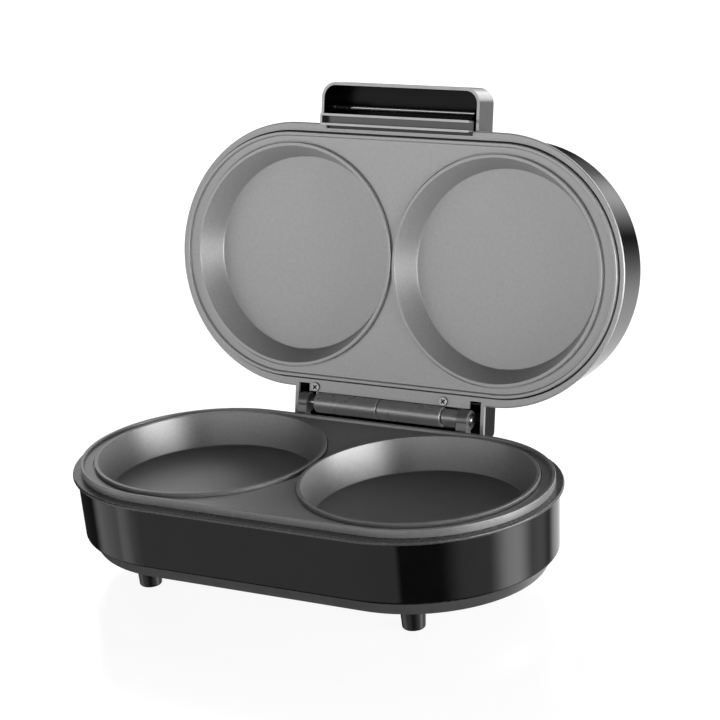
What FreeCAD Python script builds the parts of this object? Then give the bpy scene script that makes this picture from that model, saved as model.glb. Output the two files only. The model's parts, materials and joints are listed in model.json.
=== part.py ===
import FreeCAD, Part
import math
import os

# Oblong press for round cakes: a base and a hinged lid, each with two round pans.
# Units are millimetres. +X is right, +Y is to the rear (the hinge side), +Z is up.
# The base is laid out about the middle of its outline, with z = 0 at the lips of the base pans.
# The lid is laid out closed, facing down, with z = 0 at the lips of its own pans, and is then
# lifted by CLOSED_GAP and turned open about the hinge line. Last, everything moves so that the
# floor is z = 0 and the origin is under the middle of the whole object with its lid open.

V = FreeCAD.Vector
X_AXIS = V(1, 0, 0)
Y_AXIS = V(0, 1, 0)
Z_AXIS = V(0, 0, 1)

# outline shared by base and lid
HALF_SPACING = 65.9         # from the middle to a pan's centre
BASE_FLANGE_RADIUS = 78.0   # end radius of the base trim ring
LID_FLANGE_RADIUS = 77.4
FLANGE_THICKNESS = 2.0
FLANGE_EDGE = 0.8
BASE_FLANGE_DROP = 5.0      # base trim ring's face below the pan lips
LID_FLANGE_DROP = 3.0       # lid trim ring's face behind the pan lips
SKIRT_OUTER_RADIUS = 73.0
SKIRT_INNER_RADIUS = 71.0
SKIRT_HEIGHT = 4.0

# cooking plates
PLATE_HALF_SPACING = 68.1   # the plates are a little longer than the offset of the outline
PLATE_RADIUS = 71.6
PLATE_GAP = 1.0             # around the lid plate, inside its trim ring
PLATE_THICKNESS = 2.8
WEB_DROP = 2.1              # flat of the plate below the pan lips
BEAD_DROP = 0.5             # bead along the plate's edge below the pan lips
BEAD_WIDTH = 1.8
BEAD_SLOPE = 0.6            # the bead is this much wider at its foot, on the inner side
PAN_RIM_RADIUS = 63.5
LIP_WIDTH = 2.0
LIP_EDGE = 0.35
GROOVE_WIDTH = 0.9          # round the outside of each lip
GROOVE_DEPTH = 0.8
PAN_WALL = 2.6
PAN_WALL_TAPER = 0.6        # the wall is this much thinner at the rim
PAN_FLOOR = 2.5
PAN_CORNER = 0.8
BASE_PAN_FLOOR_RADIUS = 58.5
BASE_PAN_DEPTH = 19.0
LID_PAN_FLOOR_RADIUS = 57.2
LID_PAN_DEPTH = 16.0
BOSS_X = 22.0
BOSS_Y = 60.0
BOSS_RADIUS = 4.2
THREAD_HOLE_RADIUS = 1.5
THREAD_HOLE_ROOF = 2.0      # left between a boss's hole and the plate

# base
RIM_HEIGHT = 65.0           # pan lips above the floor
WALL = 2.2
HOUSING_TOP_RADIUS = 75.5
HOUSING_BOTTOM_RADIUS = 74.0
HOUSING_BOTTOM = -41.5
HOUSING_EDGE = 1.5
LEDGE_RADIUS = 60.0
LEDGE_THICKNESS = 2.0
COVER_TOP_RADIUS = 72.2
COVER_BOTTOM_RADIUS = 67.6
COVER_BOTTOM = -49.5
COVER_WALL = 1.2
COVER_SCREW_RADIUS = 63.5   # from a pan's centre to a cover screw
COVER_SCREW_ANGLE = 40.0
COVER_BOSS_HEIGHT = 8.0
COVER_BOSS_RADIUS = 3.6
COVER_POST_RADIUS = 4.6
COVER_POCKET_RADIUS = 3.1   # for the heads of the cover screws
COVER_POCKET_DEPTH = 2.2
SUPPORT_X = 40.0            # four of the posts that carry the reflector
SUPPORT_Y = 30.0
SUPPORT_RADIUS = 4.0
VENT_COUNT = 9
VENT_PITCH = 8.0
VENT_LENGTH = 22.0
VENT_HALF_WIDTH = 1.5
FOOT_FRONT = (83.0, -46.0)
FOOT_REAR = (78.0, 58.0)
FOOT_TOP_RADIUS = 7.2
FOOT_BOTTOM_RADIUS = 6.2
FOOT_NECK_RADIUS = 3.0
FOOT_EDGE = 1.4
GLAND_Z = -33.0
GLAND_RADIUS = 4.5
GLAND_BORE_RADIUS = 3.0
GLAND_LENGTH = 12.0
TERMINAL_Y = (44.0, 56.0)
TERMINAL_HEIGHT = 11.0
TERMINAL_PITCH = 12.0
LEAD_RADIUS = 1.4

# lid
SHELL_EDGE_RADIUS = 76.2
SHELL_TOP_RADIUS = 72.4
SHELL_TOP = 39.6
SHELL_EDGE_FILLET = 3.0
CLOSED_GAP = 1.0            # between the lips of the pans when the lid is down
OPEN_ANGLE = 102.6
LIGHT_PLACES = (-9.0, 9.0)
LIGHT_Y = -52.0
LIGHT_RADIUS = 3.0

# hinge
HINGE_Y = 85.5
HINGE_Z = 1.7
LID_HINGE_Z = HINGE_Z - CLOSED_GAP
PIN_RADIUS = 2.5
PIN_CLEARANCE = 0.05
BARREL_RADIUS = 5.75
EAR_RADIUS = 5.6
LEFT_EAR = (-55.5, -50.0)
RIGHT_EAR = (48.5, 55.0)
BARREL_LEFT = (-45.3, -3.9)
BARREL_RIGHT = (-3.5, 37.5)
TONGUE_HALF_WIDTH = 52.5
TONGUE_END = 79.6
HINGE_BOX_HALF_WIDTH = 62.0
HINGE_BOX_END = 96.0
HINGE_BOX_TOP = 17.5
SIDE_STRIP = 2.2
SLOT_FRONT = 75.0
HINGE_SCREWS = ((-48.4, 76.9), (36.0, 76.9))
HINGE_BRACKET_Z = (11.0, 13.0)
BRACKET_HALF_WIDTH = 57.0
BRACKET_LOW = -25.0
BRACKET_TOP = -7.3
BRACKET_BACK = 79.0
BRACKET_SCREW_X = (-40.0, -14.0, 14.0, 40.0)
BRACKET_SCREW_Z = -18.0
CLIP_WIDTH = 0.6
CLIP_GROOVE = 0.4

# heating elements
ELEMENT_LOOP_RADIUS = 38.0
ELEMENT_RADIUS = 3.25
ELEMENT_GAP = 0.1
ELEMENT_END_X = 16.0
PIN_LENGTH = 8.0
CLAMP_WIDTH = 8.0
CLAMP_SHEET = 1.2
CLAMP_CLEARANCE = 0.2
REFLECTOR_GAP = 1.8         # between an element and its reflector
REFLECTOR_RADIUS = 67.0
REFLECTOR_THICKNESS = 1.0

# handle and latch
HANDLE_HALF_WIDTH = 51.0
HANDLE_FRONT = -101.4
HANDLE_TOP = 22.0
HANDLE_CORNER = 9.0
HANDLE_WALL = 1.7
LATCH_HALF_WIDTH = 48.1
LATCH_FRONT = -83.4
LATCH_REAR = -76.6
LATCH_TIP = -3.3
LATCH_WEB_TOP = 2.4
LATCH_SHEET = 1.3
LATCH_NOTCH_HALF_WIDTH = 47.5   # in the lid trim ring, behind the latch bar
LATCH_NOTCH_REAR = -74.6
ROD_Y = -87.0
ROD_Z = 10.0
ROD_RADIUS = 1.6
ROD_END = HANDLE_HALF_WIDTH - 0.8
ARM_WIDTH = 2.0
ARM_EYE_RADIUS = 3.2
SPRING_WIRE = 0.4
SPRING_PITCH = 1.1
SPRING_TURNS = 10

# levels worked out from the sizes above
BASE_RING_BACK = BASE_FLANGE_DROP + FLANGE_THICKNESS
LID_RING_BACK = LID_FLANGE_DROP + FLANGE_THICKNESS
WEB_BACK = WEB_DROP + PLATE_THICKNESS
BASE_PAN_BACK = -(BASE_PAN_DEPTH + PAN_FLOOR)
BASE_ELEMENT_Z = BASE_PAN_BACK - ELEMENT_RADIUS - ELEMENT_GAP
BASE_REFLECTOR_TOP = BASE_ELEMENT_Z - ELEMENT_RADIUS - REFLECTOR_GAP
BASE_REFLECTOR_LOW = BASE_REFLECTOR_TOP - REFLECTOR_THICKNESS
COVER_FLOOR_TOP = COVER_BOTTOM + COVER_WALL
LEDGE_TOP = HOUSING_BOTTOM + LEDGE_THICKNESS
TERMINAL_TOP = COVER_FLOOR_TOP + TERMINAL_HEIGHT
LID_PAN_BACK = LID_PAN_DEPTH + PAN_FLOOR
LID_ELEMENT_Z = LID_PAN_BACK + ELEMENT_RADIUS + ELEMENT_GAP
LID_REFLECTOR_LOW = LID_ELEMENT_Z + ELEMENT_RADIUS + REFLECTOR_GAP
LID_REFLECTOR_HIGH = LID_REFLECTOR_LOW + REFLECTOR_THICKNESS
SHELL_CEILING = SHELL_TOP - WALL
PIN_END_LEFT = LEFT_EAR[0] - 1.6
PIN_END_RIGHT = RIGHT_EAR[1] + 1.6
EAR_SLOT_LEFT = (LEFT_EAR[0] - 1.5, LEFT_EAR[1] + 6.0)
EAR_SLOT_RIGHT = (RIGHT_EAR[0] - 12.0, RIGHT_EAR[1] + 1.5)


def box(x, y, z):
    """Box from three (low, high) pairs."""
    return Part.makeBox(x[1] - x[0], y[1] - y[0], z[1] - z[0], V(x[0], y[0], z[0]))


def rod(x, y, z, radius):
    """Cylinder along X between the two values of x."""
    return Part.makeCylinder(radius, x[1] - x[0], V(x[0], y, z), X_AXIS)


def post(x, y, z, radius):
    """Cylinder along Z between the two values of z."""
    return Part.makeCylinder(radius, z[1] - z[0], V(x, y, z[0]), Z_AXIS)


def union(shapes):
    """Fuse a list of shapes into one solid."""
    whole = shapes[0]
    for shape in shapes[1:]:
        whole = whole.fuse(shape)
    return whole.removeSplitter()


def across(x, y, z, radius):
    """Cylinder along Y between the two values of y."""
    return Part.makeCylinder(radius, y[1] - y[0], V(x, y[0], z), Y_AXIS)


def oblong(radius, z, half_spacing):
    """Wire of the oblong outline: two straight sides and two half circles."""
    right, left = half_spacing, -half_spacing
    edges = [
        Part.makeLine(V(left, -radius, z), V(right, -radius, z)),
        Part.Arc(V(right, -radius, z), V(right + radius, 0, z), V(right, radius, z)).toShape(),
        Part.makeLine(V(right, radius, z), V(left, radius, z)),
        Part.Arc(V(left, radius, z), V(left - radius, 0, z), V(left, -radius, z)).toShape(),
    ]
    return Part.Wire(edges)


def oblong_block(radius, low, high, half_spacing=HALF_SPACING):
    """Upright block with the oblong outline."""
    return Part.Face(oblong(radius, low, half_spacing)).extrude(V(0, 0, high - low))


def tapered_block(low_radius, low, high_radius, high, half_spacing=HALF_SPACING):
    """Block whose oblong outline changes evenly with height: a wedge between two half cones."""
    left = -half_spacing
    section = [V(left, -low_radius, low), V(left, low_radius, low),
               V(left, high_radius, high), V(left, -high_radius, high)]
    middle = Part.Face(Part.makePolygon(section + [section[0]])).extrude(V(2 * half_spacing, 0, 0))
    pieces = [middle]
    for x, start in ((half_spacing, -90), (left, 90)):
        end = Part.makeCone(low_radius, high_radius, high - low, V(0, 0, 0), Z_AXIS, 180)
        end.rotate(V(0, 0, 0), Z_AXIS, start)
        end.translate(V(x, 0, low))
        pieces.append(end)
    return union(pieces)


def rounded_rectangle(half_width, y, radius, z):
    """Block with a rounded rectangular outline about x = 0."""
    block = box((-half_width, half_width), y, z)
    upright = [e for e in block.Edges if abs(e.Vertexes[0].Z - e.Vertexes[1].Z) > 0.5 * (z[1] - z[0])]
    return block.makeFillet(radius, upright)


def edges_at(shape, z, tolerance=0.01):
    """Edges that lie wholly at one height."""
    return [e for e in shape.Edges
            if abs(e.BoundBox.ZMin - z) < tolerance and abs(e.BoundBox.ZMax - z) < tolerance]


def mirrored(shape):
    """The same shape upside down about z = 0."""
    return shape.mirror(V(0, 0, 0), Z_AXIS)


def screw(x, y, head_z, length, head_radius, head_height, up=True, turn=0):
    """Pan-head screw with a cross recess. The shank leaves the head towards +Z if up, else -Z."""
    head = post(0, 0, (-head_height, 0), head_radius)
    head = head.makeFillet(0.4 * head_height, edges_at(head, -head_height))
    whole = head.fuse(post(0, 0, (0, length), THREAD_HOLE_RADIUS))
    arm = 0.62 * head_radius
    slot = 0.16 * head_radius
    recess = (-head_height - 1, -0.35 * head_height)
    for half_x, half_y in ((arm, slot), (slot, arm)):
        whole = whole.cut(box((-half_x, half_x), (-half_y, half_y), recess))
    whole.rotate(V(0, 0, 0), Z_AXIS, turn)
    if not up:
        whole = mirrored(whole)
    whole.translate(V(x, y, head_z))
    return whole


def four(x, y):
    """The four places (+-x, +-y)."""
    return [(sx * x, sy * y) for sx in (-1, 1) for sy in (-1, 1)]


def pan_centres():
    return (-HALF_SPACING, HALF_SPACING)


def cooking_plate(floor_radius, depth, boss_end):
    """Cast plate facing up: two pans with raised lips, a bead along the edge and screw bosses."""
    web = oblong_block(PLATE_RADIUS, -WEB_BACK, -WEB_DROP, PLATE_HALF_SPACING)
    bead = oblong_block(PLATE_RADIUS, -WEB_DROP, -BEAD_DROP, PLATE_HALF_SPACING)
    bead_top = PLATE_RADIUS - BEAD_WIDTH
    bead = bead.cut(tapered_block(bead_top - BEAD_SLOPE, -WEB_DROP, bead_top, -BEAD_DROP,
                                  PLATE_HALF_SPACING))
    plate = union([web, bead])
    lip_radius = PAN_RIM_RADIUS + LIP_WIDTH
    for x in pan_centres():
        plate = plate.cut(post(x, 0, (-WEB_DROP - GROOVE_DEPTH, 1), lip_radius + GROOVE_WIDTH))
    pieces = [plate]
    hollows = []
    for x in pan_centres():
        pieces.append(post(x, 0, (-WEB_DROP - GROOVE_DEPTH, 0), lip_radius))
        pieces.append(Part.makeCone(floor_radius + PAN_WALL, PAN_RIM_RADIUS + PAN_WALL - PAN_WALL_TAPER,
                                    depth + PAN_FLOOR - WEB_BACK, V(x, 0, -depth - PAN_FLOOR), Z_AXIS))
        hollow = Part.makeCone(floor_radius, PAN_RIM_RADIUS, depth, V(x, 0, -depth), Z_AXIS)
        hollow = hollow.makeFillet(PAN_CORNER, edges_at(hollow, -depth))
        hollows.append(hollow)
    for x, y in four(BOSS_X, BOSS_Y):
        pieces.append(post(x, y, (-boss_end, -WEB_BACK), BOSS_RADIUS))
    plate = union(pieces)
    for hollow in hollows:
        plate = plate.cut(hollow)
    for x, y in four(BOSS_X, BOSS_Y):
        hole = (-boss_end - 1, -WEB_BACK - THREAD_HOLE_ROOF)
        plate = plate.cut(post(x, y, hole, THREAD_HOLE_RADIUS))
    return plate.makeFillet(LIP_EDGE, edges_at(plate, 0) + edges_at(plate, -BEAD_DROP))


def trim_ring(radius, drop):
    """Flange ring facing up, with a skirt that sits inside the wall below it."""
    back = drop + FLANGE_THICKNESS
    ring = oblong_block(radius, -back, -drop)
    ring = ring.makeFillet(FLANGE_EDGE, edges_at(ring, -drop) + edges_at(ring, -back))
    ring = ring.fuse(oblong_block(SKIRT_OUTER_RADIUS, -back - SKIRT_HEIGHT, -back))
    ring = ring.cut(oblong_block(SKIRT_INNER_RADIUS, -back - SKIRT_HEIGHT - 1, 1))
    pocket = oblong_block(PLATE_RADIUS + PLATE_GAP, -WEB_BACK - 0.1, 1, PLATE_HALF_SPACING)
    return ring.cut(pocket).removeSplitter()


def heating_element(z):
    """Tube bent to an oblong loop that is open at the middle of the rear."""
    r = ELEMENT_LOOP_RADIUS
    right, left = HALF_SPACING, -HALF_SPACING
    loop = [rod((left, right), -r, z, ELEMENT_RADIUS)]
    for start, end in ((left, -ELEMENT_END_X), (ELEMENT_END_X, right)):
        loop.append(rod((start, end), r, z, ELEMENT_RADIUS))
    for x, side in ((right, 0), (left, 180)):
        bend = Part.makeTorus(r, ELEMENT_RADIUS, V(0, 0, 0), Z_AXIS, 0, 360, 180)
        bend.rotate(V(0, 0, 0), Z_AXIS, side - 90)
        bend.translate(V(x, 0, z))
        loop.append(bend)
    return union(loop)


def element_pins(z):
    """Two terminal pins in line with the ends of the element."""
    y = ELEMENT_LOOP_RADIUS
    left = rod((-ELEMENT_END_X, -ELEMENT_END_X + PIN_LENGTH), y, z, 1.2)
    right = rod((ELEMENT_END_X - PIN_LENGTH, ELEMENT_END_X), y, z, 1.2)
    return Part.makeCompound([left, right])


def element_clamps(z, pan_back):
    """Four U-shaped straps, one over the tube on each side of each pan."""
    clamps = []
    inside = ELEMENT_RADIUS + CLAMP_CLEARANCE
    outside = inside + CLAMP_SHEET
    half = 0.5 * CLAMP_WIDTH
    away = -1 if pan_back < 0 else 1
    strap_near = z + away * inside
    strap_far = z + away * outside
    for x, y in four(HALF_SPACING, ELEMENT_LOOP_RADIUS):
        span = (min(pan_back, strap_far), max(pan_back, strap_far))
        cut = (min(pan_back, strap_near), max(pan_back, strap_near))
        outer = box((x - half, x + half), (y - outside, y + outside), span)
        clamps.append(outer.cut(box((x - half - 1, x + half + 1), (y - inside, y + inside), cut)))
    return Part.makeCompound(clamps)


def reflector(low, high):
    """Flat sheet behind the element, with holes for the screws and the leads."""
    sheet = oblong_block(REFLECTOR_RADIUS, low, high)
    for x, y in four(BOSS_X, BOSS_Y):
        sheet = sheet.cut(post(x, y, (low - 1, high + 1), 1.7))
    for side in (-1, 1):
        x = side * (ELEMENT_END_X - PIN_LENGTH)
        sheet = sheet.cut(post(x, ELEMENT_LOOP_RADIUS, (low - 1, high + 1), 4.0))
    return sheet


def bent_lead(points):
    """Insulated lead along straight runs with round corners."""
    pieces = []
    for start, end in zip(points[:-1], points[1:]):
        run = end - start
        pieces.append(Part.makeCylinder(LEAD_RADIUS, run.Length, start, run))
    for corner in points[1:-1]:
        pieces.append(Part.makeSphere(LEAD_RADIUS, corner))
    return union(pieces)


# --- base -----------------------------------------------------------------------------------

def housing_outside():
    return tapered_block(HOUSING_BOTTOM_RADIUS, HOUSING_BOTTOM, HOUSING_TOP_RADIUS, -BASE_RING_BACK)


def cover_screw_places():
    angle = math.radians(COVER_SCREW_ANGLE)
    out = COVER_SCREW_RADIUS * math.cos(angle)
    return four(HALF_SPACING + out, COVER_SCREW_RADIUS * math.sin(angle))


def base_housing():
    """Tub with a ledge at the bottom for the cover and holes in its rear wall."""
    outside = housing_outside()
    outside = outside.makeFillet(HOUSING_EDGE, edges_at(outside, HOUSING_BOTTOM))
    slope = (HOUSING_TOP_RADIUS - HOUSING_BOTTOM_RADIUS) / (-BASE_RING_BACK - HOUSING_BOTTOM)
    ledge_wall = HOUSING_BOTTOM_RADIUS + slope * LEDGE_THICKNESS - WALL
    inside = tapered_block(ledge_wall, LEDGE_TOP, HOUSING_TOP_RADIUS - WALL, -BASE_RING_BACK)
    housing = outside.cut(inside)
    housing = housing.cut(oblong_block(LEDGE_RADIUS, HOUSING_BOTTOM - 1, LEDGE_TOP + 1))
    boss = (LEDGE_TOP, LEDGE_TOP + COVER_BOSS_HEIGHT)
    places = cover_screw_places()
    housing = union([housing] + [post(x, y, boss, COVER_BOSS_RADIUS) for x, y in places])
    for x, y in places:
        hole = (HOUSING_BOTTOM - 1, boss[1] - THREAD_HOLE_ROOF)
        housing = housing.cut(post(x, y, hole, THREAD_HOLE_RADIUS))
    through_wall = (HOUSING_BOTTOM_RADIUS - 10, HOUSING_BOTTOM_RADIUS + 10)
    housing = housing.cut(across(0, through_wall, GLAND_Z, GLAND_RADIUS))
    for x in BRACKET_SCREW_X:
        housing = housing.cut(across(x, through_wall, BRACKET_SCREW_Z, THREAD_HOLE_RADIUS))
    return housing


def ear(x):
    """One ear: a rounded eye on an arm that leans back over the trim ring's edge."""
    outline = [(76.0, BRACKET_LOW), (BRACKET_BACK + 1, BRACKET_LOW), (84.3, -11.0), (84.3, HINGE_Z),
               (80.1, HINGE_Z), (78.3, -2.6), (78.3, BRACKET_TOP), (76.0, BRACKET_TOP)]
    points = [V(x[0], y, z) for y, z in outline]
    arm = Part.Face(Part.makePolygon(points + [points[0]])).extrude(V(x[1] - x[0], 0, 0))
    return arm.fuse(rod(x, HINGE_Y, HINGE_Z, EAR_RADIUS))


def base_hinge_bracket():
    """Plate on the housing's rear wall with the two ears of the hinge."""
    height = (BRACKET_LOW, BRACKET_TOP)
    back = box((-BRACKET_HALF_WIDTH, BRACKET_HALF_WIDTH), (72.0, BRACKET_BACK), height)
    upright = [e for e in back.Edges if abs(e.BoundBox.YMin - BRACKET_BACK) < 0.01]
    back = back.makeFillet(1.2, upright)
    bracket = union([back, ear(LEFT_EAR), ear(RIGHT_EAR)])
    bracket = bracket.cut(housing_outside())
    for x in BRACKET_SCREW_X:
        bracket = bracket.cut(across(x, (70, 90), BRACKET_SCREW_Z, THREAD_HOLE_RADIUS + 0.1))
    return bracket.cut(rod((-70, 70), HINGE_Y, HINGE_Z, PIN_RADIUS))


def bracket_screws():
    screws = []
    for x in BRACKET_SCREW_X:
        whole = screw(0, 0, 0, 10.0, 2.8, 1.9)
        whole.rotate(V(0, 0, 0), X_AXIS, 90)
        whole.translate(V(x, BRACKET_BACK, BRACKET_SCREW_Z))
        screws.append(whole)
    return Part.makeCompound(screws)


def hinge_pin():
    """Pin through both ears with a groove near each end."""
    pin = rod((PIN_END_LEFT, PIN_END_RIGHT), HINGE_Y, HINGE_Z, PIN_RADIUS)
    pin = pin.makeChamfer(0.5, [e for e in pin.Edges if e.BoundBox.XLength < 0.01])
    for x in clip_places():
        groove = rod(x, HINGE_Y, HINGE_Z, PIN_RADIUS + 1)
        pin = pin.cut(groove.cut(rod(x, HINGE_Y, HINGE_Z, PIN_RADIUS - CLIP_GROOVE)))
    return pin


def clip_places():
    return ((LEFT_EAR[0] - CLIP_WIDTH, LEFT_EAR[0]), (RIGHT_EAR[1], RIGHT_EAR[1] + CLIP_WIDTH))


def hinge_pin_clips():
    """Two open washers in the grooves of the pin."""
    clips = []
    for x in clip_places():
        ring = rod(x, HINGE_Y, HINGE_Z, PIN_RADIUS + 1.3)
        ring = ring.cut(rod(x, HINGE_Y, HINGE_Z, PIN_RADIUS - CLIP_GROOVE))
        opening = box((x[0] - 1, x[1] + 1), (HINGE_Y - 1.4, HINGE_Y + 1.4), (HINGE_Z - 8, HINGE_Z))
        clips.append(ring.cut(opening))
    return Part.makeCompound(clips)


def hinge_spacer():
    x = (BARREL_RIGHT[1] + 0.5, RIGHT_EAR[0])
    sleeve = rod(x, HINGE_Y, HINGE_Z, 4.9)
    sleeve = sleeve.makeFillet(0.8, [e for e in sleeve.Edges if e.BoundBox.XLength < 0.01])
    return sleeve.cut(rod(x, HINGE_Y, HINGE_Z, PIN_RADIUS))


def bottom_cover():
    """Shallow tray with vent slots, screw posts and posts that carry the reflector."""
    outside = tapered_block(COVER_BOTTOM_RADIUS, COVER_BOTTOM, COVER_TOP_RADIUS, HOUSING_BOTTOM)
    outside = outside.makeFillet(1.0, edges_at(outside, COVER_BOTTOM))
    inside = tapered_block(COVER_BOTTOM_RADIUS - 0.4, COVER_FLOOR_TOP,
                           COVER_TOP_RADIUS - COVER_WALL, HOUSING_BOTTOM)
    pieces = [outside.cut(inside)]
    for x, y in cover_screw_places():
        pieces.append(post(x, y, (COVER_FLOOR_TOP, HOUSING_BOTTOM), COVER_POST_RADIUS))
    for x, y in four(SUPPORT_X, SUPPORT_Y) + [(x, 0) for x in pan_centres()]:
        pieces.append(post(x, y, (COVER_FLOOR_TOP, BASE_REFLECTOR_LOW), SUPPORT_RADIUS))
    cover = union(pieces)
    for x, y in cover_screw_places():
        cover = cover.cut(post(x, y, (COVER_BOTTOM - 1, HOUSING_BOTTOM + 1), THREAD_HOLE_RADIUS + 0.1))
        pocket = (COVER_BOTTOM - 1, COVER_BOTTOM + COVER_POCKET_DEPTH)
        cover = cover.cut(post(x, y, pocket, COVER_POCKET_RADIUS))
    floor = (COVER_BOTTOM - 1, COVER_FLOOR_TOP + 1)
    for x, y in foot_places().values():
        cover = cover.cut(post(x, y, floor, FOOT_NECK_RADIUS))
    for i in range(VENT_COUNT):
        cover = cover.cut(vent_slot((i - 0.5 * (VENT_COUNT - 1)) * VENT_PITCH, floor))
    return cover


def vent_slot(x, z):
    """Slot with round ends along Y."""
    half = 0.5 * VENT_LENGTH
    middle = box((x - VENT_HALF_WIDTH, x + VENT_HALF_WIDTH), (-half, half), z)
    return union([middle, post(x, -half, z, VENT_HALF_WIDTH), post(x, half, z, VENT_HALF_WIDTH)])


def cover_screws():
    places = cover_screw_places()
    head_z = COVER_BOTTOM + COVER_POCKET_DEPTH
    return Part.makeCompound([screw(x, y, head_z, 13.8, 2.8, 1.8) for x, y in places])


def foot_places():
    places = {}
    for row, (x, y) in (("front", FOOT_FRONT), ("rear", FOOT_REAR)):
        places["foot_" + row + "_left"] = (-x, y)
        places["foot_" + row + "_right"] = (x, y)
    return places


def foot(x, y):
    """Rubber foot with a neck through the cover and a head above it."""
    height = RIM_HEIGHT + COVER_BOTTOM
    pad = Part.makeCone(FOOT_BOTTOM_RADIUS, FOOT_TOP_RADIUS, height, V(x, y, -RIM_HEIGHT), Z_AXIS)
    pad = pad.makeFillet(FOOT_EDGE, edges_at(pad, -RIM_HEIGHT))
    neck = post(x, y, (COVER_BOTTOM, COVER_FLOOR_TOP), FOOT_NECK_RADIUS)
    head = Part.makeCone(4.4, 2.4, 3.5, V(x, y, COVER_FLOOR_TOP), Z_AXIS)
    return union([pad, neck, head])


def base_plate_screws():
    places = four(BOSS_X, BOSS_Y)
    return Part.makeCompound([screw(x, y, BASE_REFLECTOR_LOW, 12.0, 3.2, 2.0) for x, y in places])


def thermostat():
    """Disc thermostat with a mounting flange, against the back of the plate."""
    body_end = -WEB_BACK - 9.0
    pieces = [post(0, -40, (body_end, -WEB_BACK), 8.0)]
    pieces.append(box((-12, 12), (-43, -37), (-WEB_BACK - 1.0, -WEB_BACK)))
    for x in (-4.0, 4.0):
        pieces.append(box((x - 0.4, x + 0.4), (-43, -37), (body_end - 5.0, body_end)))
    return union(pieces)


def thermal_fuse():
    """Fuse in a sleeve, lying along Y against the back of the plate."""
    radius = 2.4
    z = -WEB_BACK - radius
    return across(0, (28, 44), z, radius).fuse(across(0, (23, 49), z, 0.6))


def terminal_block():
    """Three-way terminal block on the cover's floor."""
    half_width = 1.5 * TERMINAL_PITCH
    block = box((-half_width, half_width), TERMINAL_Y, (COVER_FLOOR_TOP, TERMINAL_TOP))
    for x in (-TERMINAL_PITCH, 0, TERMINAL_PITCH):
        block = block.cut(post(x, 0.5 * sum(TERMINAL_Y), (TERMINAL_TOP - 5, TERMINAL_TOP + 1), 2.0))
        block = block.cut(across(x, (40, 70), COVER_FLOOR_TOP + 4, LEAD_RADIUS))
    return block


def base_leads():
    """Two leads from the element's pins down to the terminal block."""
    leads = []
    start_y = ELEMENT_LOOP_RADIUS
    lead_z = COVER_FLOOR_TOP + 4
    for side in (-1, 1):
        x = side * (ELEMENT_END_X - PIN_LENGTH - LEAD_RADIUS)
        end_x = side * TERMINAL_PITCH
        leads.append(bent_lead([V(x, start_y, BASE_ELEMENT_Z), V(x, start_y, BASE_REFLECTOR_LOW - 6),
                                V(end_x, start_y - 2, lead_z), V(end_x, TERMINAL_Y[0] + 6, lead_z)]))
    return Part.makeCompound(leads)


def cord_gland():
    """Plain outlet for the cord in the rear wall: a flanged sleeve with a bore."""
    wall = HOUSING_BOTTOM_RADIUS + 0.4
    inner_end = wall - 7.0
    sleeve = across(0, (inner_end, inner_end + GLAND_LENGTH), GLAND_Z, GLAND_RADIUS)
    flange = across(0, (wall - 1.0, wall + 3.5), GLAND_Z, GLAND_RADIUS + 2.5).cut(housing_outside())
    inner_flange = across(0, (inner_end, inner_end + 2.0), GLAND_Z, GLAND_RADIUS + 1.5)
    whole = union([sleeve, flange, inner_flange])
    return whole.cut(across(0, (wall - 20, wall + 20), GLAND_Z, GLAND_BORE_RADIUS))


# --- lid, closed and facing down --------------------------------------------------------------

def shell_block():
    return tapered_block(SHELL_EDGE_RADIUS, LID_RING_BACK, SHELL_TOP_RADIUS, SHELL_TOP)


def lid_shell():
    """Outer shell with the box that houses the hinge at its rear."""
    w = HINGE_BOX_HALF_WIDTH
    outer_box = box((-w, w), (60.0, HINGE_BOX_END), (LID_RING_BACK, HINGE_BOX_TOP))
    rear_top = [e for e in outer_box.Edges
                if e.BoundBox.ZMin > HINGE_BOX_TOP - 0.01 and e.BoundBox.YMin > HINGE_BOX_END - 0.01]
    outer_box = outer_box.makeFillet(3.0, rear_top)
    dome = shell_block()
    dome = dome.makeFillet(SHELL_EDGE_FILLET, edges_at(dome, SHELL_TOP))
    inside = tapered_block(SHELL_EDGE_RADIUS - WALL, LID_RING_BACK, SHELL_TOP_RADIUS - WALL, SHELL_CEILING)
    hinge_space = (LID_RING_BACK, HINGE_BOX_TOP - WALL)
    inner_box = box((-w + SIDE_STRIP, w - SIDE_STRIP), (60.0, HINGE_BOX_END - WALL), hinge_space)
    shell = union([dome, outer_box]).cut(inside).cut(inner_box)
    for x in (EAR_SLOT_LEFT, EAR_SLOT_RIGHT):
        shell = shell.cut(box(x, (88.0, HINGE_BOX_END + 1), (LID_RING_BACK - 1, hinge_space[1])))
    for x in LIGHT_PLACES:
        shell = shell.cut(post(x, LIGHT_Y, (SHELL_CEILING - 1, SHELL_TOP + 1), LIGHT_RADIUS))
    bosses = []
    for x, y in four(BOSS_X, BOSS_Y):
        bosses.append(post(x, y, (LID_REFLECTOR_HIGH + 4.0, SHELL_CEILING), 5.0))
    shell = union([shell] + bosses)
    for x, y in four(BOSS_X, BOSS_Y):
        shell = shell.cut(post(x, y, (LID_REFLECTOR_HIGH, SHELL_CEILING - 1), 3.4))
    return shell


def light_lens(x):
    """Cap of an indicator light, with a rim under the shell and a hollow for the lamp."""
    top = SHELL_TOP + 0.6
    rim_top = SHELL_CEILING - 0.8
    rim_low = SHELL_CEILING - 1.8
    lens = post(x, LIGHT_Y, (rim_top, top), LIGHT_RADIUS)
    lens = lens.makeFillet(0.5, edges_at(lens, top))
    lens = lens.fuse(post(x, LIGHT_Y, (rim_low, rim_top), LIGHT_RADIUS + 1.0))
    return lens.cut(post(x, LIGHT_Y, (rim_low - 1.0, SHELL_TOP - 1.0), LIGHT_RADIUS - 0.9))


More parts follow.
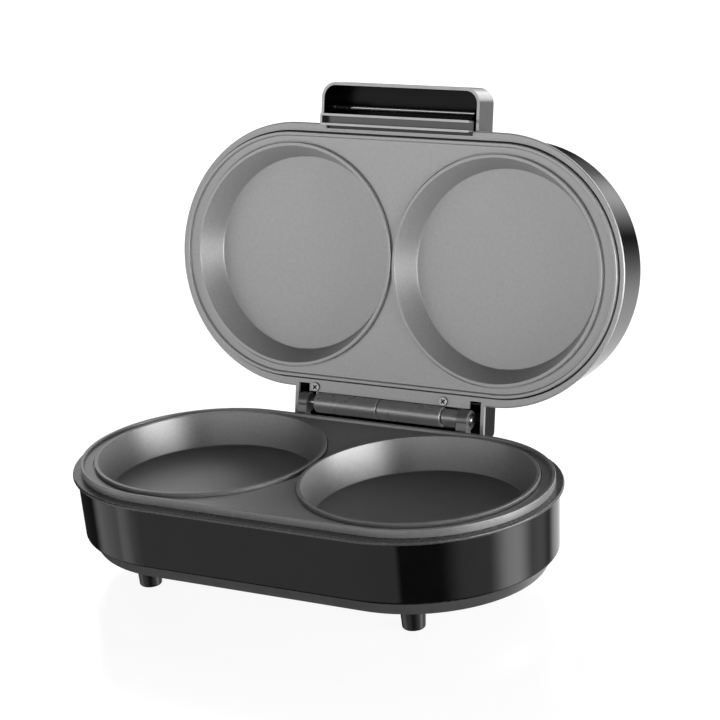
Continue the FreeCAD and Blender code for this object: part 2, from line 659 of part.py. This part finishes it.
def indicator_lamps():
    """A small round-ended lamp behind each lens."""
    lamps = []
    for x in LIGHT_PLACES:
        bulb = post(x, LIGHT_Y, (SHELL_CEILING - 6.0, SHELL_CEILING - 1.0), 1.6)
        bulb = bulb.makeFillet(0.8, edges_at(bulb, SHELL_CEILING - 1.0))
        lamps.append(bulb)
    return Part.makeCompound(lamps)


def lid_trim_ring():
    """Flange ring with the hinge tongue and the two strips beside the hinge slots."""
    w = HINGE_BOX_HALF_WIDTH
    sheet = (LID_FLANGE_DROP, LID_RING_BACK)
    through = (LID_FLANGE_DROP - 1, LID_RING_BACK + 1)
    pieces = [mirrored(trim_ring(LID_FLANGE_RADIUS, LID_FLANGE_DROP))]
    pieces.append(box((-TONGUE_HALF_WIDTH, TONGUE_HALF_WIDTH), (74.0, TONGUE_END), sheet))
    for x in ((-w, -w + SIDE_STRIP), (w - SIDE_STRIP, w)):
        pieces.append(box(x, (74.0, HINGE_BOX_END), sheet))
    ring = union(pieces)
    for x in ((-w + SIDE_STRIP, -TONGUE_HALF_WIDTH), (TONGUE_HALF_WIDTH, w - SIDE_STRIP)):
        ring = ring.cut(box(x, (SLOT_FRONT, HINGE_BOX_END + 1), through))
    for x, y in HINGE_SCREWS:
        ring = ring.cut(post(x, y, through, THREAD_HOLE_RADIUS + 0.1))
    notch = LATCH_NOTCH_HALF_WIDTH
    return ring.cut(box((-notch, notch), (-LID_FLANGE_RADIUS - 1, LATCH_NOTCH_REAR), through))


def lid_hinge_bracket():
    """Steel plate over the hinge with two posts for the screws in the tongue."""
    pieces = [box((-TONGUE_HALF_WIDTH, TONGUE_HALF_WIDTH - 7), (74.2, 92.5), HINGE_BRACKET_Z)]
    for x, y in HINGE_SCREWS:
        pieces.append(post(x, y, (LID_RING_BACK, HINGE_BRACKET_Z[0]), 3.2))
    bracket = union(pieces)
    through = (LID_RING_BACK - 1, HINGE_BRACKET_Z[1] + 1)
    for x, y in HINGE_SCREWS:
        bracket = bracket.cut(post(x, y, through, THREAD_HOLE_RADIUS))
    return bracket


def hinge_screws():
    screws = [screw(x, y, LID_FLANGE_DROP, 10.5, 2.7, 1.1, turn=45) for x, y in HINGE_SCREWS]
    return Part.makeCompound(screws)


def knuckle(x):
    """Hinge barrel with a web up to the steel bracket."""
    barrel = rod(x, HINGE_Y, LID_HINGE_Z, BARREL_RADIUS)
    barrel = barrel.makeFillet(0.9, [e for e in barrel.Edges if e.BoundBox.XLength < 0.01])
    web = box((x[0] + 3, x[1] - 3), (HINGE_Y - 0.5, HINGE_Y + 4.0), (LID_HINGE_Z, HINGE_BRACKET_Z[0]))
    whole = union([barrel, web])
    return whole.cut(rod((x[0] - 1, x[1] + 1), HINGE_Y, LID_HINGE_Z, PIN_RADIUS + PIN_CLEARANCE))


def lid_plate_screws():
    places = four(BOSS_X, BOSS_Y)
    return Part.makeCompound([screw(x, y, LID_REFLECTOR_HIGH, 12.0, 3.2, 2.0, up=False) for x, y in places])


def lid_leads():
    """Two leads from the element's pins to the hinge box."""
    leads = []
    start_y = ELEMENT_LOOP_RADIUS
    end_y = 69.5
    top = LID_REFLECTOR_HIGH + 3
    for side in (-1, 1):
        x = side * (ELEMENT_END_X - PIN_LENGTH - LEAD_RADIUS)
        end_x = side * 3
        leads.append(bent_lead([V(x, start_y, LID_ELEMENT_Z), V(x, start_y, top),
                                V(end_x, end_y, top), V(end_x, end_y, HINGE_BRACKET_Z[1] - 6)]))
    return Part.makeCompound(leads)


def handle():
    """Hollow handle, open towards the cooking side, against the front of the shell."""
    back_y = -50.0
    outer = rounded_rectangle(HANDLE_HALF_WIDTH, (HANDLE_FRONT, back_y), HANDLE_CORNER,
                              (LID_FLANGE_DROP, HANDLE_TOP))
    outer = outer.makeFillet(1.6, [e for e in edges_at(outer, HANDLE_TOP) if e.BoundBox.YMin < back_y - 1])
    inner = rounded_rectangle(HANDLE_HALF_WIDTH - HANDLE_WALL, (HANDLE_FRONT + HANDLE_WALL, back_y),
                              HANDLE_CORNER - HANDLE_WALL, (LID_FLANGE_DROP - 1, HANDLE_TOP - HANDLE_WALL))
    body = outer.cut(inner).cut(shell_block())
    body = body.cut(oblong_block(LID_FLANGE_RADIUS, LID_FLANGE_DROP - 1, LID_RING_BACK + 0.001))
    body = body.cut(box((-HANDLE_HALF_WIDTH, HANDLE_HALF_WIDTH), (-LID_FLANGE_RADIUS, back_y),
                        (LID_FLANGE_DROP - 1, LID_RING_BACK + 0.001)))
    return body.cut(latch_rod())


def latch_rod():
    return rod((-ROD_END, ROD_END), ROD_Y, ROD_Z, ROD_RADIUS)


def latch():
    """Channel-shaped latch bar, open at its right end."""
    w = LATCH_HALF_WIDTH
    bar = box((-w, w), (LATCH_FRONT, LATCH_REAR), (LATCH_TIP, LATCH_WEB_TOP))
    bar = bar.makeFillet(1.0, [e for e in bar.Edges if e.BoundBox.XLength + e.BoundBox.YLength < 0.01])
    channel = box((-w + LATCH_SHEET, w + 1), (LATCH_FRONT + LATCH_SHEET, LATCH_REAR - LATCH_SHEET),
                  (LATCH_TIP - 1, LATCH_WEB_TOP - LATCH_SHEET))
    return bar.cut(channel)


def latch_arms():
    """Two arms with eyes that hang the latch bar from the rod."""
    w = LATCH_HALF_WIDTH
    eye_z = ROD_Z - 0.6
    outline = [(ROD_Y - ARM_EYE_RADIUS, eye_z), (ROD_Y + ARM_EYE_RADIUS, eye_z),
               (LATCH_FRONT + 4.5, LATCH_WEB_TOP), (LATCH_FRONT + 0.5, LATCH_WEB_TOP)]
    arms = []
    for x in ((-w, -w + ARM_WIDTH), (w - ARM_WIDTH, w)):
        corners = [V(x[0], y, z) for y, z in outline]
        arm = Part.Face(Part.makePolygon(corners + [corners[0]])).extrude(V(ARM_WIDTH, 0, 0))
        arm = arm.fuse(rod(x, ROD_Y, ROD_Z, ARM_EYE_RADIUS))
        arms.append(arm.cut(rod((x[0] - 1, x[1] + 1), ROD_Y, ROD_Z, ROD_RADIUS + PIN_CLEARANCE)))
    return Part.makeCompound(arms)


def latch_spring():
    """Coil of a torsion spring round the rod."""
    coil_radius = ROD_RADIUS + SPRING_WIRE + 0.15
    helix = Part.makeHelix(SPRING_PITCH, SPRING_PITCH * SPRING_TURNS, coil_radius)
    circle = Part.Wire([Part.makeCircle(SPRING_WIRE, V(coil_radius, 0, 0), Y_AXIS)])
    coil = Part.Wire(helix).makePipeShell([circle], True, True)
    coil.rotate(V(0, 0, 0), Y_AXIS, 90)
    coil.translate(V(-LATCH_HALF_WIDTH + ARM_WIDTH + 1.0, ROD_Y, ROD_Z))
    return coil


# --- assembly -----------------------------------------------------------------------------------

BASE_NODES = {
    "base_housing": base_housing(),
    "base_trim_ring": trim_ring(BASE_FLANGE_RADIUS, BASE_FLANGE_DROP),
    "base_plate": cooking_plate(BASE_PAN_FLOOR_RADIUS, BASE_PAN_DEPTH, -BASE_REFLECTOR_TOP),
    "base_heating_element": heating_element(BASE_ELEMENT_Z),
    "base_element_pins": element_pins(BASE_ELEMENT_Z),
    "base_element_clamps": element_clamps(BASE_ELEMENT_Z, BASE_PAN_BACK),
    "base_reflector": reflector(BASE_REFLECTOR_LOW, BASE_REFLECTOR_TOP),
    "base_plate_screws": base_plate_screws(),
    "thermostat": thermostat(),
    "thermal_fuse": thermal_fuse(),
    "terminal_block": terminal_block(),
    "base_leads": base_leads(),
    "bottom_cover": bottom_cover(),
    "cover_screws": cover_screws(),
    "base_hinge_bracket": base_hinge_bracket(),
    "bracket_screws": bracket_screws(),
    "hinge_pin": hinge_pin(),
    "hinge_pin_clips": hinge_pin_clips(),
    "hinge_spacer": hinge_spacer(),
    "cord_gland": cord_gland(),
}
for foot_name, place in foot_places().items():
    BASE_NODES[foot_name] = foot(*place)

LID_NODES = {
    "lid_shell": lid_shell(),
    "lid_trim_ring": lid_trim_ring(),
    "lid_plate": mirrored(cooking_plate(LID_PAN_FLOOR_RADIUS, LID_PAN_DEPTH, LID_REFLECTOR_LOW)),
    "lid_heating_element": heating_element(LID_ELEMENT_Z),
    "lid_element_pins": element_pins(LID_ELEMENT_Z),
    "lid_element_clamps": element_clamps(LID_ELEMENT_Z, LID_PAN_BACK),
    "lid_reflector": reflector(LID_REFLECTOR_LOW, LID_REFLECTOR_HIGH),
    "lid_plate_screws": lid_plate_screws(),
    "lid_leads": lid_leads(),
    "handle": handle(),
    "latch_rod": latch_rod(),
    "latch_spring": latch_spring(),
    "latch": latch(),
    "latch_arms": latch_arms(),
    "knuckle_left": knuckle(BARREL_LEFT),
    "knuckle_right": knuckle(BARREL_RIGHT),
    "lid_hinge_bracket": lid_hinge_bracket(),
    "hinge_screws": hinge_screws(),
    "power_light_lens": light_lens(LIGHT_PLACES[0]),
    "ready_light_lens": light_lens(LIGHT_PLACES[1]),
    "indicator_lamps": indicator_lamps(),
}


def open_lid(shape):
    """Lift a closed lid piece by the gap and turn it open about the hinge line."""
    placed = shape.copy()
    placed.translate(V(0, 0, CLOSED_GAP))
    placed.rotate(V(0, HINGE_Y, HINGE_Z), X_AXIS, -OPEN_ANGLE)
    return placed


def main():
    os.makedirs("parts", exist_ok=True)
    nodes = dict(BASE_NODES)
    nodes.update({name: open_lid(shape) for name, shape in LID_NODES.items()})
    bounds = Part.makeCompound(list(nodes.values())).optimalBoundingBox(True, False)
    shift = V(0, -0.5 * (bounds.YMin + bounds.YMax), RIM_HEIGHT)
    for name, shape in nodes.items():
        placed = shape.copy()
        placed.translate(shift)
        if not placed.isValid():
            print("invalid:", name)
        placed.exportStep("parts/" + name + ".step")
        print(name, len(placed.Solids), round(placed.Volume))
    print("shift y", shift.y, "size", bounds.XLength, bounds.YLength, bounds.ZLength)


main()
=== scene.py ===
import json
import math

import bpy
from mathutils import Matrix, Vector


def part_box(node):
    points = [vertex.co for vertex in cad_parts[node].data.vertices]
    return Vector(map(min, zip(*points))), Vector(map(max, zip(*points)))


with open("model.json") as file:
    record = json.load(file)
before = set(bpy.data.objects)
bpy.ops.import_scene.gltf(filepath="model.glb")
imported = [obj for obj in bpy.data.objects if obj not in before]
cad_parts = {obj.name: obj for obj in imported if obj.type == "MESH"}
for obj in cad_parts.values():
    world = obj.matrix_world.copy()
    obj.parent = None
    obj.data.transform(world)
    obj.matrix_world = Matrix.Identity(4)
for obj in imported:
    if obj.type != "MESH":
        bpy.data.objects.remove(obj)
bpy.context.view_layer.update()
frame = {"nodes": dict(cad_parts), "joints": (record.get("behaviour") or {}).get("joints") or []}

# Oblong double round-pan press, lid open. Lengths are in metres, grey levels run from 0 to 255.

NODES = frame["nodes"]
JOINTS = {joint["name"]: joint for joint in frame["joints"]}
OPEN_ANGLE = math.radians(JOINTS["lid_hinge"]["range_deg"][1])
LID_FACING = Vector((0.0, -math.sin(OPEN_ANGLE), -math.cos(OPEN_ANGLE)))

RING_GAP_SHADE = (0.0016, 0.0019)             # depths where painted shade turns the lid ring's gap black
SCREW_RECESS_SHADE = (0.00015, 0.0003)        # depths where painted shade turns a screw's recess black
PAINTED_SHADE_LEVEL = 4                        # grey level of the painted shade in those depths
INNER_SHADE_BLEND = 0.0004                   # a face this far outside a hollow piece's middle escapes the painted shade
FLOOR_SIZE = 12.0
FLOOR_GLOW = 0.9
FILL = 0.03                             # strength of the studio away from the softboxes


def linear(level):
    """Linear value of a display level from 0 to 255."""
    share = level / 255.0
    return share / 12.92 if share <= 0.04045 else ((share + 0.055) / 1.055) ** 2.4


def grey(level, tint=(1.0, 1.0, 1.0)):
    """Linear colour of a grey display level, with a slight tint."""
    value = linear(level)
    return (value * tint[0], value * tint[1], value * tint[2], 1.0)


# --- node trees --------------------------------------------------------------------------------


class Shader:
    """A Principled material with helpers for its node tree."""

    def __init__(self, name):
        self.material = bpy.data.materials.new(name)
        self.material.use_nodes = True
        self.tree = self.material.node_tree
        self.bsdf = self.tree.nodes["Principled BSDF"]

    def node(self, kind, **settings):
        made = self.tree.nodes.new(kind)
        for key, value in settings.items():
            setattr(made, key, value)
        return made

    def link(self, start, end):
        self.tree.links.new(start, end)

    def drive(self, name, output):
        """Feed one of the shader's own sockets from an output."""
        self.link(output, self.bsdf.inputs[name])

    def set(self, **values):
        for key, value in values.items():
            self.bsdf.inputs[key.replace("_", " ")].default_value = value

    def coordinates(self, scale=(1.0, 1.0, 1.0)):
        """Object coordinates, stretched."""
        source = self.node("ShaderNodeTexCoord")
        mapping = self.node("ShaderNodeMapping")
        mapping.inputs["Scale"].default_value = scale
        self.link(source.outputs["Object"], mapping.inputs["Vector"])
        return mapping.outputs["Vector"]

    def noise(self, vector, scale, detail=3.0, roughness=0.5):
        made = self.node("ShaderNodeTexNoise")
        made.inputs["Scale"].default_value = scale
        made.inputs["Detail"].default_value = detail
        made.inputs["Roughness"].default_value = roughness
        self.link(vector, made.inputs["Vector"])
        return made.outputs["Fac"]

    def ramp(self, factor, low, high, start=0.3, end=0.7):
        """Map a factor to a value or colour between two stops."""
        made = self.node("ShaderNodeValToRGB")
        first, last = made.color_ramp.elements
        first.position, last.position = start, end
        first.color = low if isinstance(low, tuple) else (low, low, low, 1.0)
        last.color = high if isinstance(high, tuple) else (high, high, high, 1.0)
        self.link(factor, made.inputs["Fac"])
        return made.outputs["Color"]

    def mix(self, factor, first, second):
        """Blend from a fixed colour at 0 to a colour output at 1."""
        made = self.node("ShaderNodeMix", data_type="RGBA")
        colours = [socket for socket in made.inputs if socket.type == "RGBA"]
        self.link(factor, made.inputs[0])
        colours[0].default_value = first
        self.link(second, colours[1])
        return next(socket for socket in made.outputs if socket.type == "RGBA")

    def bump(self, height, strength, distance):
        made = self.node("ShaderNodeBump")
        made.inputs["Strength"].default_value = strength
        made.inputs["Distance"].default_value = distance
        self.link(height, made.inputs["Height"])
        self.drive("Normal", made.outputs["Normal"])


# --- materials ---------------------------------------------------------------------------------


def black_moulding(name, low, high, roughness):
    """Plain black moulding, polished or, for rubber, dull."""
    s = Shader(name)
    vector = s.coordinates()
    s.drive("Base Color", s.ramp(s.noise(vector, 60.0), grey(low), grey(high)))
    s.drive("Roughness", s.ramp(s.noise(vector, 35.0, 4.0), roughness - 0.02, roughness + 0.03))
    s.set(IOR=1.46)
    return s.material


def satin_plastic(name, low, high, roughness, metallic=0.0):
    """Moulded plastic with fine grain."""
    s = Shader(name)
    vector = s.coordinates()
    s.drive("Base Color", s.ramp(s.noise(vector, 90.0, 4.0), grey(low), grey(high)))
    s.drive("Roughness", s.ramp(s.noise(vector, 260.0), roughness - 0.04, roughness + 0.05))
    s.set(Metallic=metallic)
    s.bump(s.noise(vector, 1600.0, 2.0), 0.08, 0.0002)
    return s.material


def paint_shade_below(shader, node, colour, depths):
    """Painted shade: blend a colour to black between two depths below the front of a lid piece."""
    front = max(vertex.co.dot(LID_FACING) for vertex in NODES[node].data.vertices)
    source = shader.node("ShaderNodeTexCoord")
    along = shader.node("ShaderNodeVectorMath", operation="DOT_PRODUCT")
    shader.link(source.outputs["Object"], along.inputs[0])
    along.inputs[1].default_value = LID_FACING
    depth = shader.node("ShaderNodeMapRange")
    shader.link(along.outputs["Value"], depth.inputs["Value"])
    depth.inputs["From Min"].default_value = front - depths[1]
    depth.inputs["From Max"].default_value = front - depths[0]
    return shader.mix(depth.outputs["Result"], grey(PAINTED_SHADE_LEVEL), colour)


def shaded_hollow_plastic(node, low, high, inside, roughness):
    """Metallic lacquer with painted shade: darker on the faces towards the middle of a hollow piece.
    """
    s = Shader(node + "_grey")
    corner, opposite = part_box(node)
    source = s.node("ShaderNodeTexCoord")
    offset = s.node("ShaderNodeVectorMath", operation="SUBTRACT")
    s.link(source.outputs["Object"], offset.inputs[0])
    offset.inputs[1].default_value = 0.5 * (corner + opposite)
    outward = s.node("ShaderNodeVectorMath", operation="DOT_PRODUCT")
    s.link(offset.outputs["Vector"], outward.inputs[0])
    s.link(source.outputs["Normal"], outward.inputs[1])
    shell = s.ramp(s.noise(s.coordinates(), 90.0, 4.0), grey(low), grey(high))
    # painted shade: faces turned towards the piece's middle take the darker inside grey
    outside = s.ramp(outward.outputs["Value"], 0.0, 1.0, 0.0, INNER_SHADE_BLEND)
    s.drive("Base Color", s.mix(outside, grey(inside), shell))
    s.set(Roughness=roughness, Metallic=0.9)
    return s.material


def coating(name, low, high, shaded_gap_node=None):
    """Satin coating with a fine fleck; painted shade turns the gap below the front of the given node
    black.
    """
    s = Shader(name)
    vector = s.coordinates()
    fleck = s.noise(vector, 520.0, 5.0, 0.7)
    colour = s.ramp(fleck, grey(low), grey(high))
    if shaded_gap_node:
        colour = paint_shade_below(s, shaded_gap_node, colour, RING_GAP_SHADE)
    s.drive("Base Color", colour)
    s.drive("Roughness", s.ramp(fleck, 0.33, 0.40))
    s.set(Metallic=0.4)
    s.bump(s.noise(vector, 2200.0, 3.0), 0.05, 0.0002)
    return s.material


def metal(name, low, high, roughness, stretch=(1.0, 1.0, 1.0)):
    """Drawn or rolled metal with fine lines."""
    s = Shader(name)
    lines = s.noise(s.coordinates(stretch), 900.0)
    s.drive("Base Color", s.ramp(lines, grey(low), grey(high)))
    s.drive("Roughness", s.ramp(lines, roughness - 0.06, roughness + 0.08))
    s.set(Metallic=1.0)
    s.bump(lines, 0.08, 0.0001)
    return s.material


def screw_head(node):
    """Bright flat of a screw head round a recess blackened by painted shade."""
    s = Shader(node)
    lines = s.noise(s.coordinates(), 900.0)
    colour = s.ramp(lines, grey(170), grey(190))
    s.drive("Base Color", paint_shade_below(s, node, colour, SCREW_RECESS_SHADE))
    s.set(Roughness=0.35, Metallic=0.8)
    return s.material


def lens(name, colour):
    """Clear coloured cap or bulb."""
    s = Shader(name)
    darker = tuple(0.8 * part for part in colour[:3]) + (1.0,)
    s.drive("Base Color", s.ramp(s.noise(s.coordinates(), 300.0), colour, darker))
    s.set(Roughness=0.12, IOR=1.49, Coat_Weight=0.5)
    return s.material


def ceramic(name, level):
    """Unglazed insulator or woven sleeving."""
    s = Shader(name)
    vector = s.coordinates()
    warm = grey(level + 15, (1.0, 0.98, 0.94))
    s.drive("Base Color", s.ramp(s.noise(vector, 200.0), grey(level), warm))
    s.set(Roughness=0.6)
    s.bump(s.noise(vector, 900.0), 0.15, 0.0002)
    return s.material


MATERIALS = {
    "gloss_black": black_moulding("gloss_black", 5, 9, 0.05),
    "rubber": black_moulding("rubber", 10, 15, 0.26),
    "handle": shaded_hollow_plastic("handle", 152, 162, 24, 0.26),
    "latch": shaded_hollow_plastic("latch", 178, 188, 84, 0.24),
    "bracket": satin_plastic("bracket_grey", 112, 122, 0.32, 0.5),
    "barrel": satin_plastic("barrel_grey", 156, 162, 0.30, 0.5),
    "cover": satin_plastic("cover_grey", 90, 98, 0.35, 0.6),
    # painted light and shade: the lid's coating and lid ring take lighter greys than the base's
    # coating and trim ring, though each pair is one finish, to stand in for how the light falls
    "base_coating": coating("base_non_stick", 124, 138),
    "lid_coating": coating("lid_non_stick", 160, 172),
    "lid_ring": coating("lid_ring", 160, 172, "lid_trim_ring"),
    "hinge_screw": screw_head("hinge_screws"),
    "trim_black": satin_plastic("trim_black", 62, 70, 0.26),
    "steel": metal("steel", 176, 190, 0.24, (1.0, 12.0, 12.0)),
    "screw_steel": metal("screw_steel", 110, 130, 0.3),
    "dark_metal": metal("dark_metal", 34, 48, 0.4),
    "sheath": metal("sheath", 110, 130, 0.45),
    "sheet": metal("sheet", 190, 205, 0.35, (1.0, 14.0, 1.0)),
    "ceramic": ceramic("ceramic", 205),
    "sleeving": ceramic("sleeving", 215),
    "red_lens": lens("red_lens", (0.5, 0.02, 0.015, 1.0)),
    "green_lens": lens("green_lens", (0.02, 0.32, 0.05, 1.0)),
    "lamp_glass": lens("lamp_glass", (0.8, 0.75, 0.68, 1.0)),
}

FINISH = {
    "gloss_black": ("base_housing", "lid_shell"),
    "rubber": ("foot_front_left", "foot_front_right", "foot_rear_left", "foot_rear_right",
               "cord_gland"),
    "handle": ("handle",),
    "latch": ("latch",),
    "bracket": ("base_hinge_bracket",),
    "barrel": ("knuckle_left", "knuckle_right", "hinge_spacer"),
    "cover": ("bottom_cover",),
    "base_coating": ("base_plate",),
    "lid_coating": ("lid_plate",),
    "lid_ring": ("lid_trim_ring",),
    "hinge_screw": ("hinge_screws",),
    "trim_black": ("base_trim_ring",),
    "steel": ("hinge_pin", "hinge_pin_clips", "latch_rod", "lid_hinge_bracket", "base_element_clamps",
              "lid_element_clamps", "base_element_pins", "lid_element_pins"),
    "screw_steel": ("bracket_screws", "base_plate_screws", "lid_plate_screws"),
    "dark_metal": ("latch_arms", "latch_spring", "cover_screws"),
    "sheath": ("base_heating_element", "lid_heating_element"),
    "sheet": ("base_reflector", "lid_reflector"),
    "ceramic": ("thermostat", "terminal_block", "thermal_fuse"),
    "sleeving": ("base_leads", "lid_leads"),
    "red_lens": ("power_light_lens",),
    "green_lens": ("ready_light_lens",),
    "lamp_glass": ("indicator_lamps",),
}


def paint_nodes():
    """Give every CAD piece its finish."""
    for finish, names in FINISH.items():
        for name in names:
            piece = NODES[name]
            piece.data.materials.clear()
            piece.data.materials.append(MATERIALS[finish])


# --- stage -------------------------------------------------------------------------------------

CAMERA_BEHIND = Vector((0.65596, -1.06176, 0.5330))     # from the floor under the base's middle
CAMERA_YAW = math.radians(30.307)
CAMERA_PITCH = math.radians(-18.208)
CAMERA_ROLL = math.radians(-4.262)
CAMERA_LENS = 121.32


def add_camera():
    """Camera to the right of the front and a little above, rolled slightly."""
    low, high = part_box("base_plate")
    place = CAMERA_BEHIND + Vector((0.0, 0.5 * (low[1] + high[1]), 0.0))
    camera = bpy.data.objects.new("camera", bpy.data.cameras.new("camera"))
    bpy.context.collection.objects.link(camera)
    camera.data.sensor_width = 36.0
    camera.data.lens = CAMERA_LENS
    camera.data.clip_start = 0.05
    camera.data.clip_end = 50.0
    forward = Vector((-math.sin(CAMERA_YAW) * math.cos(CAMERA_PITCH),
                      math.cos(CAMERA_YAW) * math.cos(CAMERA_PITCH), math.sin(CAMERA_PITCH)))
    level = forward.cross(Vector((0, 0, 1))).normalized()
    above = level.cross(forward)
    right = level * math.cos(CAMERA_ROLL) + above * math.sin(CAMERA_ROLL)
    up = above * math.cos(CAMERA_ROLL) - level * math.sin(CAMERA_ROLL)
    turn = Matrix((right, up, -forward)).transposed()
    camera.matrix_world = Matrix.Translation(place) @ turn.to_4x4()
    bpy.context.scene.camera = camera


def add_floor():
    """Pale sheet that glows a little, so the shadows stay faint as on a light table."""
    bpy.ops.mesh.primitive_plane_add(size=FLOOR_SIZE, location=(0, 0, 0))
    floor = bpy.context.object
    floor.name = "floor"
    s = Shader("floor")
    s.drive("Base Color", s.ramp(s.noise(s.coordinates(), 3.0), grey(118), grey(120)))
    s.set(Roughness=0.16, IOR=1.45)
    s.set(Emission_Color=(1.0, 1.0, 1.0, 1.0), Emission_Strength=FLOOR_GLOW)
    floor.data.materials.append(s.material)
    floor.visible_glossy = False


# Softboxes and pale screens round the object: centre and half width in degrees round the
# vertical (0 is the right, 90 the rear, -90 the front), lowest and highest angle, softness of
# the edge, and strength.
SOFTBOXES = {
    "left_low": (-160, 22, -42, -8, 8, 0.9),
    "front_low": (-117, 34, -42, -8, 3, 0.58),
    "right_low_wide": (13, 50, -42, -12, 12, 0.6),
    "right_low": (19, 14, -42, -12, 11, 2.8),
    "back_low": (98, 23, -52, -14, 8, 1.0),
    "key": (-107, 53, -3, 24, 7, 1.35),
    "right": (4, 31, -8, 14, 8, 13.5),
    "back_right": (68, 26, 0, 46, 7, 2.0),
    "back": (120, 32, 6, 56, 10, 1.15),
}


class Studio:
    """World shader that paints softboxes by direction; the camera itself sees plain white."""

    def __init__(self):
        self.world = bpy.data.worlds.new("studio")
        self.world.use_nodes = True
        self.tree = self.world.node_tree
        self.dim = self.tree.nodes["Background"]
        direction = self.tree.nodes.new("ShaderNodeTexCoord").outputs["Generated"]
        parts = self.tree.nodes.new("ShaderNodeSeparateXYZ")
        self.tree.links.new(direction, parts.inputs[0])
        x, y, z = parts.outputs
        self.around = self.math("ARCTAN2", y, x)
        self.height = self.math("ARCSINE", z)

    def math(self, operation, *values):
        """Output of a maths node fed with numbers or outputs."""
        made = self.tree.nodes.new("ShaderNodeMath")
        made.operation = operation
        for socket, value in zip(made.inputs, values):
            if isinstance(value, (int, float)):
                socket.default_value = value
            else:
                self.tree.links.new(value, socket)
        return made.outputs[0]

    def window(self, away, half_width, softness):
        """1 while an angle away from the centre is inside, with a soft edge down to 0."""
        made = self.tree.nodes.new("ShaderNodeMapRange")
        made.interpolation_type = "SMOOTHSTEP"
        self.tree.links.new(self.math("ABSOLUTE", away), made.inputs["Value"])
        made.inputs["From Min"].default_value = math.radians(half_width - softness)
        made.inputs["From Max"].default_value = math.radians(half_width + softness)
        made.inputs["To Min"].default_value = 1.0
        made.inputs["To Max"].default_value = 0.0
        return made.outputs["Result"]

    def softbox(self, centre, half_width, lowest, highest, softness, strength):
        turn = self.math("SUBTRACT", self.around, math.radians(centre))
        turn = self.math("WRAP", turn, math.pi, -math.pi)
        rise = self.math("SUBTRACT", self.height, math.radians(0.5 * (lowest + highest)))
        inside = self.math("MULTIPLY", self.window(turn, half_width, softness),
                           self.window(rise, 0.5 * (highest - lowest), softness))
        return self.math("MULTIPLY", inside, strength)

    def build(self, softboxes, fill):
        total = self.math("ADD", fill, 0.0)
        for box in softboxes.values():
            total = self.math("ADD", total, self.softbox(*box))
        seen = self.tree.nodes.new("ShaderNodeLightPath").outputs["Is Camera Ray"]
        strength = self.math("MAXIMUM", total, seen)
        self.dim.inputs["Color"].default_value = (1.0, 1.0, 1.0, 1.0)
        self.tree.links.new(strength, self.dim.inputs["Strength"])
        bpy.context.scene.world = self.world


paint_nodes()
add_camera()
add_floor()
Studio().build(SOFTBOXES, FILL)
bpy.context.scene.view_settings.view_transform = "Standard"
